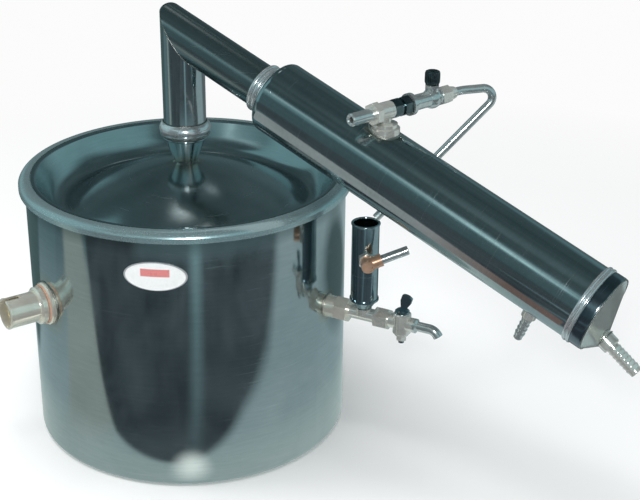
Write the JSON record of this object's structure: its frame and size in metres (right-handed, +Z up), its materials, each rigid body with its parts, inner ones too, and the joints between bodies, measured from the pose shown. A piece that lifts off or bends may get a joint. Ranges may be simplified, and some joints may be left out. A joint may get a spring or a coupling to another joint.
{
  "type": "water still",
  "caption": "Bench water still: polished steel boiler with a dished lid, a vapour column turning down into a sloping jacketed condenser, a constant level cup, drain cock and side heater.",
  "frame": {"origin": "centre of the boiler's base, on the bench", "axes": "+Z up along the boiler's axis, +X the heading of the condenser seen from above, away from the column"},
  "size_m": [0.5943, 0.3281, 0.3953],
  "materials": {
    "polished_steel": "mirror polished stainless steel sheet",
    "satin_steel": "satin stainless steel",
    "nickel": "bright nickel plate",
    "dark_plate": "dark reflecting plate",
    "brass": "worn pale brass",
    "fibre_washer": "reddish fibre washer",
    "seal_rubber": "grey silicone",
    "insulator": "moulded insulator",
    "contact_pin": "bare brass pin",
    "badge": "white enamel"
  },
  "bodies": {
    "boiler": {"boiler_shell": "polished_steel", "lid_gasket": "seal_rubber", "oval_badge": "badge", "heater_boss": "brass", "heater_washer": "fibre_washer", "heater_body": "brass", "heater_backnut": "brass", "heater_shroud": "brass", "heater_insulator": "insulator", "heater_pins": "contact_pin", "heating_element": "satin_steel", "feed_boss": "brass", "feed_nut": "brass", "feed_tee": "nickel", "cup_cone": "nickel", "level_cup": "nickel", "overflow_nut": "nickel", "overflow_elbow": "brass", "overflow_nozzle": "brass", "feed_union": "nickel", "cock_body": "nickel", "drain_spout": "nickel"},
    "lid": {"lid_dish": "polished_steel", "lid_rim": "polished_steel", "vapour_socket": "satin_steel", "splash_baffle": "satin_steel"},
    "seal": {"taper_seal": "seal_rubber"},
    "condenser": {"column_spigot": "satin_steel", "column_collar": "polished_steel", "vapour_pipe": "polished_steel", "neck_collar": "polished_steel", "jacket_top_cap": "polished_steel", "cooling_jacket": "polished_steel", "jacket_end_bead": "polished_steel", "upper_tube_plate": "satin_steel", "lower_tube_plate": "satin_steel", "condensing_tubes": "satin_steel", "outlet_cone": "polished_steel", "outlet_collar": "polished_steel", "distillate_nozzle": "nickel", "cooling_inlet_boss": "satin_steel", "cooling_inlet_nozzle": "nickel", "water_boss": "satin_steel", "outlet_tee": "nickel", "drain_nozzle": "nickel", "valve_union": "dark_plate", "valve_body": "nickel", "gland_nut": "nickel", "compression_nut": "nickel", "feed_tube": "nickel"},
    "valve": {"valve_spindle": "nickel", "valve_knob": "dark_plate"},
    "cock": {"cock_plug": "nickel", "cock_handle": "nickel", "cock_washer": "nickel", "cock_tail_nut": "nickel"}
  },
  "joints": [
    {"name": "lid_lift", "type": "slide", "parent": "boiler", "child": "lid", "axis": [0, 0, 1], "range_m": [0, 0.12]},
    {"name": "condenser_lift", "type": "slide", "parent": "lid", "child": "seal", "axis": [0, 0, 1], "range_m": [0, 0.06]},
    {"name": "condenser_swivel", "type": "hinge", "parent": "seal", "child": "condenser", "pos_m": [0, 0, 0.2773], "axis": [0, 0, 1], "range_deg": [-90, 90]},
    {"name": "valve_turn", "type": "hinge", "parent": "condenser", "child": "valve", "pos_m": [0.22259, 0.05071, 0.34], "axis": [0, 0, 1], "range_deg": [0, 720]},
    {"name": "cock_turn", "type": "hinge", "parent": "boiler", "child": "cock", "pos_m": [0.21638, 0.02657, 0.1405], "axis": [0, 0, 1], "range_deg": [0, 90]}
  ]
}
